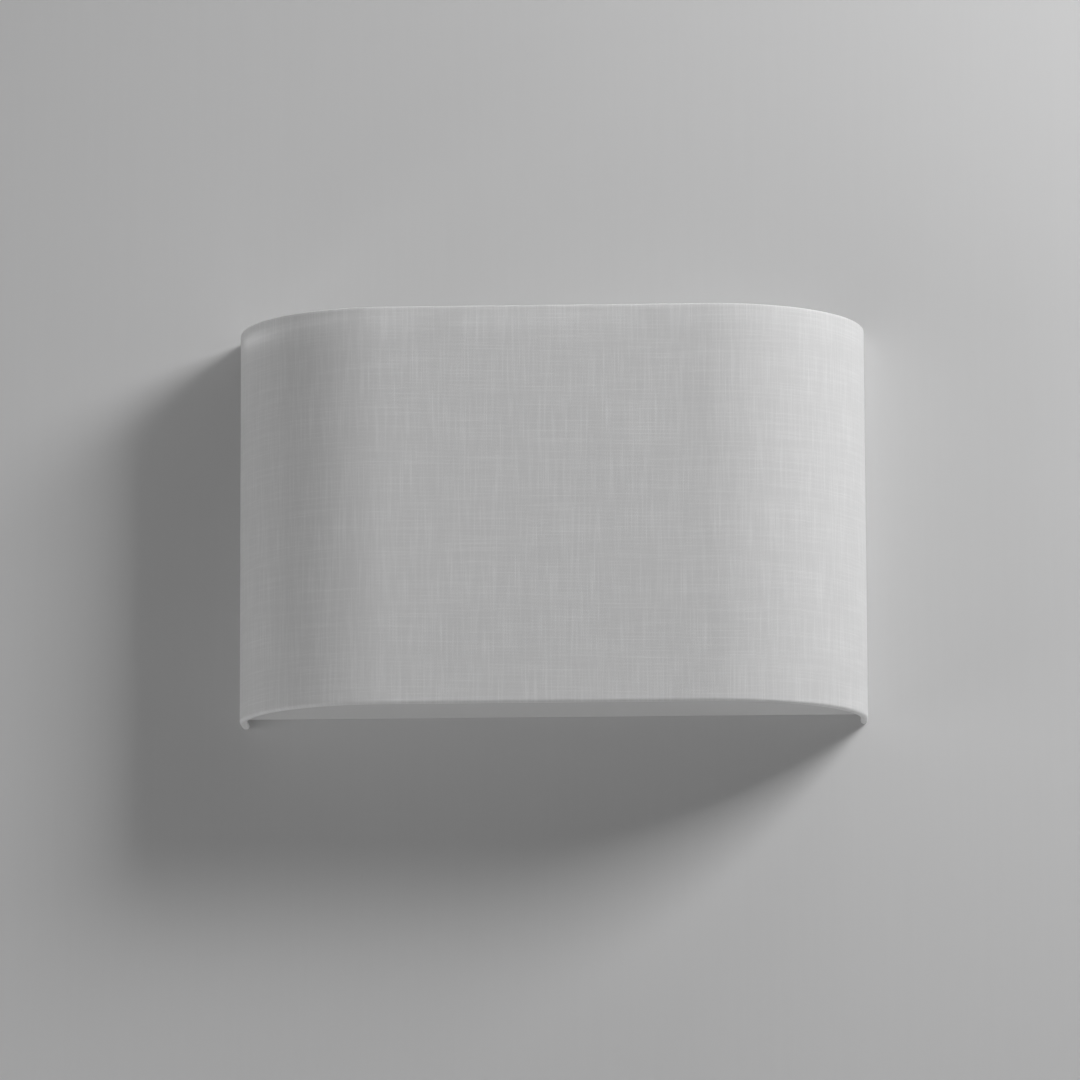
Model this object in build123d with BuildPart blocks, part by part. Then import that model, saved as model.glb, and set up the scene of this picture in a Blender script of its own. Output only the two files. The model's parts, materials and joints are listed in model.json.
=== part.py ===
from build123d import *
import math
import os

# Fabric shade wall light, in millimetres.
# The wall is the plane y = 0, the room is towards -Y, +Z is up and +X is to the right.
# The origin is the middle of the two wall screws, at half the height of the shade.
# A "setback" or "reach" is a distance from the wall; a "u" is a distance inward
# from the outer face of the fabric.

# ---------------------------------------------------------------- driving sizes

# shade
shade_width = 300.0
shade_height = 189.0
corner_radius = 74.0
side_straight = 12.0
shade_wall_gap = 0.5
fabric_thickness = 0.4
liner_thickness = 0.4
glue_line = 0.05
ring_wire = 2.2

# frame bars inside the shade
strut_width = 8.0
strut_thickness = 1.0
slit_gap = 0.1
tab_width = 10.0
tab_thickness = 0.8
tab_reach = 6.5
tab_front_offset = 50.0
tab_corner_share = 0.14

# diffusers
diffuser_thickness = 2.0
top_diffuser_recess = 8.5
diffuser_edge_gap = 0.45
diffuser_pan_gap = 1.0
diffuser_strut_gap = 0.3
seat_gap = 0.1
diffuser_edge_chamfer = 0.3

# back pan
flank_gap = 3.1
pan_foot_rise = 2.4
pan_depth = 10.0
pan_thickness = 1.0
pan_corner = 3.0
pan_bend = 1.6
lay_gap = 0.05

# wall strap and its studs
strap_length = 124.0
strap_height = 22.0
strap_thickness = 1.5
strap_corner = 5.0
wall_screw_spacing = 70.0
wall_slot_length = 22.0
wall_slot_width = 4.6
stud_spacing = 106.0
stud_diameter = 4.0
stud_collar_diameter = 6.4
stud_collar_height = 0.8
washer_diameter = 9.0
washer_thickness = 0.8
cap_nut_flats = 7.0
cap_nut_hex_height = 3.4
cap_nut_height = 8.6
stud_end_gap = 1.4
screw_clearance = 0.05
stud_hole_clearance = 0.25
cap_nut_dome_inset = 0.2
cap_nut_dome_share = 0.8
nut_chamfer = 0.3

# what carries and holds the shade on the pan
locating_stud_setback = 3.2
locating_stud_inset = 54.5
locating_stud_diameter = 4.0
locating_stud_base = 5.6
locating_base_height = 0.9
notch_clearance = 0.1
stud_tip_gap = 0.2
clip_inset = 28.5
clip_width = 8.0
clip_sheet = 0.4
clip_end_inset = 1.2
clip_strut_gap = 0.15
clip_rivet_diameter = 1.9
clip_rivet_head = 3.4
clip_rivet_head_height = 0.4

# cable grommet
grommet_rise = 13.0
grommet_bore = 9.0
grommet_groove = 15.0
grommet_flange = 20.0
grommet_length = 6.0
grommet_lip_taper = 1.0

# lampholders
lamp_spacing = 140.0
lamp_setback = 45.0
lamp_seat_rise = 19.3
bracket_width = 24.0
bracket_thickness = 1.5
bracket_end = 13.0
bracket_leg = 15.0
bracket_bend = 2.0
rivet_diameter = 3.0
rivet_head = 5.6
rivet_head_height = 1.0
rivet_spacing = 14.0
rivet_drop = 9.5
nipple_diameter = 10.0
nipple_bore = 7.0
nipple_tail = 2.0
holder_nut_flats = 14.0
holder_nut_height = 3.0
holder_base_diameter = 28.0
holder_base_height = 20.0
holder_skirt_diameter = 25.0
holder_bore = 17.2
holder_floor = 24.0
holder_mouth_gap = 1.6
holder_foot_chamfer = 1.0
holder_waist_height = 2.0
holder_mouth_chamfer = 0.8
port_spread = 4.0
port_height = 8.0
port_step = 2.5
port_depth = 9.0
port_clearance = 0.2
shell_sheet = 0.4
shell_flange_bore = 9.0
shell_rim_inset = 1.0
contact_flange_gap = 0.3
contact_gap = 0.2

# bulbs
bulb_rise = 28.0
bulb_length = 78.0
globe_diameter = 45.0
globe_wall = 1.2
globe_seam = 44.0
cap_diameter = 13.9
cap_root_diameter = 12.5
cap_sheet = 0.35
cap_start = 4.0
cap_lip = 1.0
thread_start = 5.0
thread_pitch = 2.82
thread_turns = 4
cap_top = 18.0
cap_rim_diameter = 15.0
cap_rim_height = 1.2
insulator_tip_diameter = 6.0
insulator_start = 0.6
tip_diameter = 4.4
running_clearance = 0.08
board_thickness = 1.0
board_edge_gap = 0.5
base_spigot = 6.0
base_foot_step = 0.3
base_rim_height = 1.5

# terminal block and leads
block_width = 18.0
block_height = 30.0
block_depth = 15.0
block_corner = 1.2
block_rise = 14.0
pole_pitch = 10.0
sleeve_length = 15.0
sleeve_diameter = 6.0
sleeve_bore = 4.0
mouth_diameter = 4.4
clamp_screw_spread = 4.5
clamp_screw_diameter = 2.9
clamp_head_diameter = 3.8
clamp_head_height = 1.8
clamp_head_sink = 1.0
well_diameter = 4.0
screw_slot_width = 0.6
screw_slot_depth = 0.6
block_screw_diameter = 3.0
block_screw_head = 5.2
block_screw_head_height = 2.0
block_screw_tail = 2.5
lead_diameter = 2.0
lead_insertion = 4.0
lead_corner_share = 0.45
lead_straight = 9.0
lead_spread_run = 31.0
lead_bow = 1.0
earth_lead_straight = 7.0
earth_lead_sweep = (-6.0, -2.0, 3.0)
earth_lead_rise = 4.0
port_end_gap = 2.0

# earth connection
earth_screw_x = 34.0
earth_screw_rise = 8.0
earth_screw_diameter = 4.0
earth_screw_head = 7.6
earth_screw_head_height = 2.6
earth_screw_tail = 4.6
earth_nut_flats = 7.0
earth_nut_height = 3.0
tag_diameter = 8.0
tag_thickness = 0.8
tag_barrel_length = 7.0
tag_barrel_wall = 0.7
tag_neck = 2.0
tag_overlap = 1.0

# ---------------------------------------------------------------- worked out

sides = (("left", -1), ("right", 1))
half_width = shade_width / 2
half_height = shade_height / 2
shade_depth = corner_radius + side_straight
liner_u = fabric_thickness + glue_line
liner_inner_u = liner_u + liner_thickness
frame_u = liner_inner_u + glue_line
ring_u = frame_u + ring_wire / 2
roll_inner = ring_wire / 2 + glue_line
roll_outer = roll_inner + fabric_thickness
ring_z = half_height - roll_outer
rim_width = ring_u + roll_outer
weld_z = ring_z - ring_wire / 2 - glue_line

top_diffuser_z = half_height - top_diffuser_recess - diffuser_thickness
bottom_diffuser_z = -(half_height - 2 * roll_outer) + seat_gap
diffuser_back = -(pan_depth + diffuser_pan_gap)

pan_top = half_height - top_diffuser_recess
pan_bottom = bottom_diffuser_z + pan_foot_rise
pan_height = pan_top - pan_bottom
pan_middle = (pan_top + pan_bottom) / 2
pan_side = half_width - frame_u - strut_thickness - flank_gap
locating_stud_height = half_height - locating_stud_inset
clip_height = half_height - clip_inset

wall_slots = ((-wall_screw_spacing / 2, 0), (wall_screw_spacing / 2, 0))
stud_places = ((-stud_spacing / 2, 0), (stud_spacing / 2, 0))
nut_start = pan_depth + washer_thickness + 2 * lay_gap
stud_length = nut_start + cap_nut_height - stud_end_gap
lamp_seat_height = bottom_diffuser_z + diffuser_thickness + lamp_seat_rise
bracket_top = lamp_seat_height - lay_gap
rivet_height = bracket_top - rivet_drop
bracket_front = pan_depth + lay_gap + bracket_thickness
tip_z = lamp_seat_height + bulb_rise
globe_radius = globe_diameter / 2
globe_middle = bulb_length - globe_radius
seam_radius = math.sqrt(globe_radius ** 2 - (globe_middle - globe_seam) ** 2)
shell_bore = cap_diameter / 2 + running_clearance
holder_top = bulb_rise + cap_top - holder_mouth_gap
shell_top = holder_top - shell_rim_inset
sleeve_reach = pan_depth + lay_gap + block_depth / 2
block_front = pan_depth + lay_gap + block_depth
block_middle_height = lamp_seat_height + block_rise
grommet_height = block_middle_height + block_height / 2 + grommet_rise
earth_screw_height = grommet_height + earth_screw_rise
pole_heights = [block_middle_height + step * pole_pitch for step in (1, 0, -1)]
earth_pole, neutral_pole, live_pole = pole_heights
block_screw_places = [(0, (a + b) / 2) for a, b in zip(pole_heights, pole_heights[1:])]
lead_radius = lead_diameter / 2
tag_barrel_radius = lead_radius + glue_line + tag_barrel_wall
tag_barrel_reach = pan_depth + lay_gap + tag_barrel_radius
tag_barrel_top = earth_screw_height - tag_diameter / 2 - tag_neck
lead_inner_end = sleeve_length / 2 - lead_insertion
port_reach = lamp_setback - holder_base_diameter / 2 + port_depth - port_end_gap

# ---------------------------------------------------------------- helpers


def wall_plane(distance):
    """Plane facing the room at a distance from the wall: local x is +X, local y is +Z."""
    return Plane.XZ.offset(distance)


def flank_plane(side, distance):
    """Plane facing sideways at |x| = distance: local y is +Z, local x is +Y times the side."""
    return Plane(origin=(side * distance, 0, 0), x_dir=(0, side, 0), z_dir=(side, 0, 0))


def lamp_point(side, height):
    """Point on a lamp's upright axis."""
    return (side * lamp_spacing / 2, -lamp_setback, height)


def lamp_plane(side, height):
    """Upright plane through a lamp's axis: local x is the radius, local y is the height."""
    return Plane(origin=lamp_point(side, height), x_dir=(1, 0, 0), z_dir=(0, -1, 0))


def lead_ports(side):
    """The outer and the inner lead hole of a lampholder, as (x, z) places."""
    middle = lamp_seat_height + port_height
    outer = (side * (lamp_spacing / 2 + port_spread), middle + port_step)
    inner = (side * (lamp_spacing / 2 - port_spread), middle - port_step)
    return outer, inner


def pole_plane(height):
    """Plane across the terminal block's pole: the pole runs along its normal, +X."""
    return Plane(origin=(0, -sleeve_reach, height), x_dir=(0, 1, 0), z_dir=(1, 0, 0))


def shade_section(edge, share):
    """Plane square to the shade's plan outline: local x points inward, local y is +Z."""
    along = edge % share
    return Plane(origin=edge @ share, x_dir=Vector(0, 0, 1).cross(along), z_dir=along)


def d_plan(inset, back):
    """D-shaped face, set in from the fabric's outer face and cut straight at y = back."""
    flat = half_width - corner_radius
    with BuildSketch() as plan:
        with BuildLine():
            left = Line((inset - half_width, 0), (inset - half_width, -side_straight))
            left_arc = JernArc(left @ 1, left % 1, corner_radius - inset, 90)
            front = Line(left_arc @ 1, (flat, inset - shade_depth))
            right_arc = JernArc(front @ 1, front % 1, corner_radius - inset, 90)
            right = Line(right_arc @ 1, (half_width - inset, 0))
            Line(right @ 1, left @ 0)
        make_face()
        Rectangle(shade_width, -back, align=(Align.CENTER, Align.MAX), mode=Mode.SUBTRACT)
    return plan.sketch


def turned(steps):
    """Turned piece on the Z axis from (diameter, from, to) steps."""
    with BuildPart() as piece:
        with BuildSketch(Plane.XZ):
            for diameter, low, high in steps:
                with Locations((0, low)):
                    Rectangle(diameter / 2, high - low, align=(Align.MIN, Align.MIN))
        revolve(axis=Axis.Z)
    return piece.part


def revolved(points):
    """Solid turned round the Z axis from a closed outline of (radius, height) points."""
    with BuildPart() as piece:
        with BuildSketch(Plane.XZ):
            with BuildLine():
                Polyline(*points, close=True)
            make_face()
        revolve(axis=Axis.Z)
    return piece.part


def slotted_screw(steps, head_top):
    """Turned screw with a driver slot cut across the top of its head."""
    with BuildPart() as screw:
        add(turned(steps))
        with BuildSketch(Plane.XY.offset(head_top)):
            Rectangle(2 * shade_width, screw_slot_width)
        extrude(amount=-screw_slot_depth, mode=Mode.SUBTRACT)
    return screw.part


def hex_ring(flats, bore, height):
    """Hexagon nut blank that stands on the XY plane."""
    with BuildPart() as nut:
        with BuildSketch():
            RegularPolygon(flats / 2, 6, major_radius=False)
            Circle(bore / 2, mode=Mode.SUBTRACT)
        extrude(amount=height)
        top_face = nut.faces().filter_by(GeomType.PLANE).sort_by(Axis.Z)[-1]
        chamfer(top_face.outer_wire().edges(), nut_chamfer)
    return nut.part


def lead(points):
    """Insulated lead along (x, reach, z) points, every corner rounded as far as its runs allow."""
    route = [Vector(x, -reach, z) for x, reach, z in points]
    radii = []
    for before, corner, after in zip(route, route[1:], route[2:]):
        half_turn = math.radians((corner - before).get_angle(after - corner)) / 2
        shorter_run = min((corner - before).length, (after - corner).length)
        radii.append(lead_corner_share * shorter_run / math.tan(half_turn))
    print("lead radii", [round(radius, 1) for radius in radii])
    with BuildPart() as tube:
        with BuildLine() as line:
            FilletPolyline(*route, radius=radii)
        path = line.wire()
        with BuildSketch(Plane(origin=path @ 0, z_dir=path % 0)):
            Circle(lead_radius)
        sweep(path=path)
    return tube.part


def save(part, name):
    """Label a finished piece and write it."""
    part.label = name
    export_step(part, f"parts/{name}.step")


os.makedirs("parts", exist_ok=True)

# ---------------------------------------------------------------- shade

# plan outline of the fabric's outer face, from the left wall end round to the right one
with BuildLine() as shade_outline:
    left_side = Line((-half_width, -shade_wall_gap), (-half_width, -side_straight))
    left_corner = JernArc(left_side @ 1, left_side % 1, corner_radius, 90)
    shade_front = Line(left_corner @ 1, (half_width - corner_radius, -shade_depth))
    right_corner = JernArc(shade_front @ 1, shade_front % 1, corner_radius, 90)
    right_side = Line(right_corner @ 1, (half_width, -shade_wall_gap))
shade_path = shade_outline.wire()
section_start = shade_section(left_side, 0)

front_length = shade_width - 2 * corner_radius
front_share = 0.5 - tab_front_offset / front_length
tab_sections = [
    shade_section(shade_front, front_share),
    shade_section(shade_front, 1 - front_share),
    shade_section(left_corner, tab_corner_share),
    shade_section(right_corner, 1 - tab_corner_share),
]
# a flat tab in a round corner stands off the liner by the height of its arc
tab_u = frame_u + tab_width ** 2 / (8 * (corner_radius - liner_inner_u))

# fabric: the outer skin, rolled over the ring wires and tucked under them
with BuildPart() as shade_fabric:
    with BuildSketch(section_start):
        with BuildLine():
            skin = Line((0, 0), (0, ring_z))
            shoulder = RadiusArc(skin @ 1, (roll_outer, ring_z + roll_outer), roll_outer)
            crown = Line(shoulder @ 1, (ring_u, ring_z + roll_outer))
            roll = CenterArc((ring_u, ring_z), roll_outer, 90, -180)
            tuck_end = Line(roll @ 1, (ring_u, ring_z - roll_inner))
            inner_roll = CenterArc((ring_u, ring_z), roll_inner, -90, 180)
            inner_crown = Line(inner_roll @ 1, (roll_outer, ring_z + roll_inner))
            inner_shoulder = RadiusArc(inner_crown @ 1, (fabric_thickness, ring_z), -roll_inner)
            Line(inner_shoulder @ 1, (fabric_thickness, 0))
            mirror(about=Plane.XZ)
        make_face()
    sweep(path=shade_path)
    # slits in the tuck where the bars are welded to the ring wires
    for section in tab_sections:
        with BuildSketch(section.offset(-tab_width / 2 - slit_gap)):
            with Locations((liner_inner_u, weld_z)):
                slit_width = tab_u + tab_thickness + slit_gap - liner_inner_u
                Rectangle(slit_width, 2 * fabric_thickness, align=(Align.MIN, Align.CENTER))
        extrude(amount=tab_width + 2 * slit_gap, mode=Mode.SUBTRACT)
    for _, side in sides:
        with BuildSketch(flank_plane(side, half_width - liner_inner_u)):
            with Locations((-side * (shade_wall_gap + strut_width / 2), weld_z)):
                Rectangle(strut_width + 2 * slit_gap, 2 * fabric_thickness)
            mirror(about=Plane.XZ)
        extrude(amount=-(glue_line + strut_thickness + slit_gap), mode=Mode.SUBTRACT)
save(shade_fabric.part, "shade_fabric")

# liner: the stiff sheet behind the fabric
with BuildPart() as shade_liner:
    with BuildSketch(section_start):
        with Locations((liner_u + liner_thickness / 2, 0)):
            Rectangle(liner_thickness, 2 * ring_z)
    sweep(path=shade_path)
save(shade_liner.part, "shade_liner")

# ring wires, open at the wall
for ring_name, ring_height in (("top_ring", ring_z), ("bottom_ring", -ring_z)):
    with BuildPart() as ring:
        with BuildSketch(section_start):
            with Locations((ring_u, ring_height)):
                Circle(ring_wire / 2)
        sweep(path=shade_path)
    save(ring.part, ring_name)

# struts: flat uprights at the wall ends, notched from behind for the locating studs
notch_radius = locating_stud_diameter / 2 + notch_clearance
for side_name, side in sides:
    with BuildPart() as strut:
        with BuildSketch(flank_plane(side, half_width - frame_u)):
            with Locations((-side * (shade_wall_gap + strut_width / 2), 0)):
                Rectangle(strut_width, 2 * weld_z)
            notch_places = [
                (-side * locating_stud_setback, height)
                for height in (-locating_stud_height, locating_stud_height)
            ]
            with Locations(*notch_places):
                Circle(notch_radius, mode=Mode.SUBTRACT)
            with Locations(*[(x / 2, z) for x, z in notch_places]):
                Rectangle(locating_stud_setback, 2 * notch_radius, mode=Mode.SUBTRACT)
        extrude(amount=-strut_thickness)
    save(strut.part, f"{side_name}_strut")

# tabs under the top ring, which carry the top diffuser
with BuildPart() as diffuser_tabs:
    tab_seat = top_diffuser_z - seat_gap
    tab_low = tab_seat - tab_thickness
    for section in tab_sections:
        with BuildSketch(section.offset(-tab_width / 2)):
            with Locations((tab_u, tab_low)):
                Rectangle(tab_thickness, weld_z - tab_low, align=(Align.MIN, Align.MIN))
                Rectangle(tab_reach, tab_thickness, align=(Align.MIN, Align.MIN))
        extrude(amount=tab_width)
save(diffuser_tabs.part, "diffuser_tabs")

# diffusers
with BuildPart() as top_diffuser:
    with BuildSketch(Plane.XY.offset(top_diffuser_z)):
        add(d_plan(rim_width + diffuser_edge_gap, diffuser_back))
    extrude(amount=diffuser_thickness)
    chamfer(top_diffuser.faces().sort_by(Axis.Z)[-1].edges(), diffuser_edge_chamfer)
save(top_diffuser.part, "top_diffuser")

with BuildPart() as bottom_diffuser:
    with BuildSketch(Plane.XY.offset(bottom_diffuser_z)):
        add(d_plan(frame_u + strut_thickness + diffuser_strut_gap, diffuser_back))
    extrude(amount=diffuser_thickness)
    chamfer(bottom_diffuser.faces().sort_by(Axis.Z)[-1].edges(), diffuser_edge_chamfer)
save(bottom_diffuser.part, "bottom_diffuser")

# ---------------------------------------------------------------- pan and wall strap

side_holes = {
    locating_stud_diameter: (locating_stud_setback, locating_stud_height),
    clip_rivet_diameter: (pan_depth / 2, clip_height),
}
with BuildPart() as back_pan:
    with BuildSketch(wall_plane(0)):
        with Locations((0, pan_middle)):
            RectangleRounded(2 * pan_side, pan_height, pan_corner)
    extrude(amount=pan_depth)
    fillet(back_pan.faces().sort_by(Axis.Y)[0].edges(), pan_bend)
    offset(amount=-pan_thickness, openings=back_pan.faces().sort_by(Axis.Y)[-1])
    with BuildSketch(wall_plane(pan_depth)):
        with Locations(*stud_places):
            Circle(stud_diameter / 2 + stud_hole_clearance)
        with Locations((0, grommet_height)):
            Circle(grommet_groove / 2 + lay_gap)
        with Locations(*block_screw_places):
            Circle(block_screw_diameter / 2 + screw_clearance)
        with Locations((earth_screw_x, earth_screw_height)):
            Circle(earth_screw_diameter / 2 + screw_clearance)
        for _, side in sides:
            with Locations((side * lamp_spacing / 2, rivet_height)):
                with GridLocations(rivet_spacing, 0, 2, 1):
                    Circle(rivet_diameter / 2 + screw_clearance)
    extrude(amount=-2 * pan_thickness, mode=Mode.SUBTRACT)
    for _, side in sides:
        with BuildSketch(flank_plane(side, pan_side)):
            for diameter, (setback, height) in side_holes.items():
                with Locations((-side * setback, height), (-side * setback, -height)):
                    Circle(diameter / 2 + screw_clearance)
        extrude(amount=-2 * pan_thickness, mode=Mode.SUBTRACT)
save(back_pan.part, "back_pan")

with BuildPart() as wall_strap:
    with BuildSketch(wall_plane(0)):
        RectangleRounded(strap_length, strap_height, strap_corner)
        with Locations(*wall_slots):
            SlotOverall(wall_slot_length, wall_slot_width, mode=Mode.SUBTRACT)
        with Locations(*stud_places):
            Circle(stud_diameter / 2 + screw_clearance, mode=Mode.SUBTRACT)
    extrude(amount=strap_thickness)
save(wall_strap.part, "wall_strap")

stud_steps = [
    (stud_diameter, lay_gap, stud_length),
    (
        stud_collar_diameter,
        strap_thickness + lay_gap,
        strap_thickness + lay_gap + stud_collar_height,
    ),
]
with BuildPart() as strap_studs:
    with Locations(wall_plane(0)):
        with Locations(*stud_places):
            add(turned(stud_steps))
save(strap_studs.part, "strap_studs")

with BuildPart() as stud_washers:
    with BuildSketch(wall_plane(pan_depth + lay_gap)):
        with Locations(*stud_places):
            Circle(washer_diameter / 2)
            Circle(stud_diameter / 2 + stud_hole_clearance, mode=Mode.SUBTRACT)
    extrude(amount=washer_thickness)
save(stud_washers.part, "stud_washers")

with BuildPart() as cap_nuts:
    dome_radius = cap_nut_flats / 2 - cap_nut_dome_inset
    bore_depth = stud_length - nut_start + lay_gap
    with Locations(wall_plane(nut_start)):
        with Locations(*stud_places):
            add(hex_ring(cap_nut_flats, stud_diameter + 2 * screw_clearance, cap_nut_hex_height))
    with BuildSketch(wall_plane(nut_start + cap_nut_hex_height)):
        with Locations(*stud_places):
            Circle(dome_radius)
    extrude(amount=cap_nut_height - cap_nut_hex_height)
    dome_tops = cap_nuts.faces().filter_by(GeomType.PLANE).group_by(Axis.Y)[0].edges()
    fillet(dome_tops, dome_radius * cap_nut_dome_share)
    with BuildSketch(wall_plane(nut_start)):
        with Locations(*stud_places):
            Circle(stud_diameter / 2 + screw_clearance)
    extrude(amount=bore_depth, mode=Mode.SUBTRACT)
save(cap_nuts.part, "cap_nuts")

# ---------------------------------------------------------------- shade fixings on the pan

stud_tip = flank_gap + strut_thickness + glue_line - stud_tip_gap
tail_start = -(pan_thickness + lay_gap)
locating_steps = [
    (locating_stud_diameter, tail_start - locating_base_height, stud_tip),
    (locating_stud_base, lay_gap, lay_gap + locating_base_height),
    (locating_stud_base, tail_start - locating_base_height, tail_start),
]
with BuildPart() as locating_studs:
    for _, side in sides:
        for height in (-locating_stud_height, locating_stud_height):
            with Locations(flank_plane(side, pan_side)):
                with Locations((-side * locating_stud_setback, height)):
                    add(turned(locating_steps))
save(locating_studs.part, "locating_studs")

# spring clips: a leaf on the pan's flank that folds back and bows against the strut
clip_crown = flank_gap - clip_strut_gap
clip_line_base = lay_gap + clip_sheet / 2
clip_line_crown = clip_crown - clip_sheet / 2
clip_line_fold = clip_line_base + 3 * clip_sheet
clip_nose = pan_depth - clip_end_inset
with BuildPart() as spring_clips:
    for _, side in sides:
        for height in (-clip_height, clip_height):
            clip_plane = Plane(
                origin=(side * pan_side, 0, height - clip_width / 2),
                x_dir=(0, -1, 0),
                z_dir=(0, 0, 1),
            )
            with BuildSketch(clip_plane):
                with BuildLine():
                    base = Line(
                        (clip_end_inset, side * clip_line_base),
                        (clip_nose, side * clip_line_base),
                    )
                    nose = ThreePointArc(
                        base @ 1,
                        (clip_nose + 1.2 * clip_sheet, side * (clip_line_base + 1.5 * clip_sheet)),
                        (clip_nose, side * clip_line_fold),
                    )
                    ThreePointArc(
                        nose @ 1,
                        (pan_depth / 2, side * clip_line_crown),
                        (clip_end_inset, side * clip_line_fold),
                    )
                trace(line_width=clip_sheet)
            extrude(amount=clip_width)
            with BuildSketch(flank_plane(side, pan_side)):
                with Locations((-side * pan_depth / 2, height)):
                    Circle(clip_rivet_diameter / 2 + screw_clearance)
            extrude(amount=clip_line_base + clip_sheet, mode=Mode.SUBTRACT)
save(spring_clips.part, "spring_clips")

clip_rivet_start = lay_gap + clip_sheet + lay_gap
clip_rivet_steps = [
    (clip_rivet_diameter, tail_start - clip_rivet_head_height, clip_rivet_start),
    (clip_rivet_head, clip_rivet_start, clip_rivet_start + clip_rivet_head_height),
    (clip_rivet_head, tail_start - clip_rivet_head_height, tail_start),
]
with BuildPart() as clip_rivets:
    for _, side in sides:
        for height in (-clip_height, clip_height):
            with Locations(flank_plane(side, pan_side)):
                with Locations((-side * pan_depth / 2, height)):
                    add(turned(clip_rivet_steps))
save(clip_rivets.part, "clip_rivets")

# grommet: rubber ring snapped into the pan's cable hole
grommet_back = pan_depth - pan_thickness / 2 - grommet_length / 2
groove_low = pan_depth - pan_thickness - lay_gap - grommet_back
groove_high = groove_low + pan_thickness + 2 * lay_gap
grommet_outline = [
    (grommet_bore / 2, 0),
    (grommet_flange / 2 - grommet_lip_taper, 0),
    (grommet_flange / 2, groove_low),
    (grommet_groove / 2, groove_low),
    (grommet_groove / 2, groove_high),
    (grommet_flange / 2, groove_high),
    (grommet_flange / 2 - grommet_lip_taper, grommet_length),
    (grommet_bore / 2, grommet_length),
]
with BuildPart() as cable_grommet:
    with Locations(wall_plane(grommet_back)):
        with Locations((0, grommet_height)):
            add(revolved(grommet_outline))
save(cable_grommet.part, "cable_grommet")

# ---------------------------------------------------------------- lamp brackets and lampholders

for side_name, side in sides:
    lamp_x = side * lamp_spacing / 2
    with BuildPart() as lamp_bracket:
        with BuildSketch(Plane.YZ.offset(lamp_x - bracket_width / 2)):
            with Locations((-(pan_depth + lay_gap), bracket_top)):
                Rectangle(
                    lamp_setback + bracket_end - pan_depth - lay_gap,
                    bracket_thickness,
                    align=(Align.MAX, Align.MAX),
                )
                Rectangle(bracket_thickness, bracket_leg, align=(Align.MAX, Align.MAX))
        extrude(amount=bracket_width)
        upright_edges = lamp_bracket.edges().filter_by(Axis.Z).group_by(Axis.Y)[0]
        fillet(upright_edges, bracket_width / 4)
        fold = lamp_bracket.edges().filter_by(Axis.X).group_by(Axis.Y)[-1].sort_by(Axis.Z)[-1]
        fillet(fold, bracket_bend)
        with Locations(lamp_point(side, bracket_top)):
            Hole(nipple_diameter / 2 + screw_clearance, bracket_thickness)
        with BuildSketch(wall_plane(pan_depth)):
            with Locations((lamp_x, rivet_height)):
                with GridLocations(rivet_spacing, 0, 2, 1):
                    Circle(rivet_diameter / 2 + screw_clearance)
        extrude(amount=2 * bracket_thickness, mode=Mode.SUBTRACT)
    save(lamp_bracket.part, f"{side_name}_lamp_bracket")

rivet_grip = pan_thickness + bracket_thickness + 3 * lay_gap
rivet_steps = [
    (rivet_diameter, -rivet_grip - rivet_head_height, 0),
    (rivet_head, 0, rivet_head_height),
    (rivet_head, -rivet_grip - rivet_head_height, -rivet_grip),
]
with BuildPart() as bracket_rivets:
    for _, side in sides:
        with Locations(wall_plane(bracket_front + lay_gap)):
            with Locations((side * lamp_spacing / 2, rivet_height)):
                with GridLocations(rivet_spacing, 0, 2, 1):
                    add(turned(rivet_steps))
save(bracket_rivets.part, "bracket_rivets")

nipple_length = lay_gap + bracket_thickness + holder_nut_height + lay_gap + nipple_tail
holder_outline = [
    (nipple_bore / 2, -nipple_length),
    (nipple_diameter / 2, -nipple_length),
    (nipple_diameter / 2, 0),
    (holder_base_diameter / 2 - holder_foot_chamfer, 0),
    (holder_base_diameter / 2, holder_foot_chamfer),
    (holder_base_diameter / 2, holder_base_height),
    (holder_skirt_diameter / 2, holder_base_height + holder_waist_height),
    (holder_skirt_diameter / 2, holder_top - holder_mouth_chamfer),
    (holder_skirt_diameter / 2 - holder_mouth_chamfer, holder_top),
    (holder_bore / 2, holder_top),
    (holder_bore / 2, holder_floor),
    (nipple_bore / 2, holder_floor),
]
shell_low = holder_floor + lay_gap
shell_outline = [
    (shell_flange_bore / 2, shell_low),
    (holder_bore / 2 - lay_gap, shell_low),
    (holder_bore / 2 - lay_gap, shell_low + shell_sheet),
    (shell_bore + shell_sheet, shell_low + shell_sheet),
    (shell_bore + shell_sheet, shell_top),
    (shell_bore, shell_top),
    (shell_bore, shell_low + shell_sheet),
    (shell_flange_bore / 2, shell_low + shell_sheet),
]
contact_steps = [
    (shell_flange_bore - 2 * contact_flange_gap, shell_low, shell_low + shell_sheet),
    (tip_diameter, shell_low, bulb_rise - contact_gap),
]
for side_name, side in sides:
    with BuildPart() as lampholder_body:
        with Locations(lamp_point(side, lamp_seat_height)):
            add(revolved(holder_outline))
        with BuildSketch(wall_plane(lamp_setback - holder_base_diameter / 2)):
            with Locations(*lead_ports(side)):
                Circle(lead_radius + port_clearance)
        extrude(amount=port_depth, mode=Mode.SUBTRACT)
    save(lampholder_body.part, f"{side_name}_lampholder_body")

    with BuildPart() as thread_shell:
        with Locations(lamp_point(side, lamp_seat_height)):
            add(revolved(shell_outline))
    save(thread_shell.part, f"{side_name}_thread_shell")

    with BuildPart() as centre_contact:
        with Locations(lamp_point(side, lamp_seat_height)):
            add(turned(contact_steps))
    save(centre_contact.part, f"{side_name}_centre_contact")

with BuildPart() as lampholder_nuts:
    nut_low = bracket_top - bracket_thickness - lay_gap - holder_nut_height
    for _, side in sides:
        with Locations(lamp_point(side, nut_low)):
            nut_bore = nipple_diameter + 2 * screw_clearance
            add(hex_ring(holder_nut_flats, nut_bore, holder_nut_height))
save(lampholder_nuts.part, "lampholder_nuts")

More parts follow.
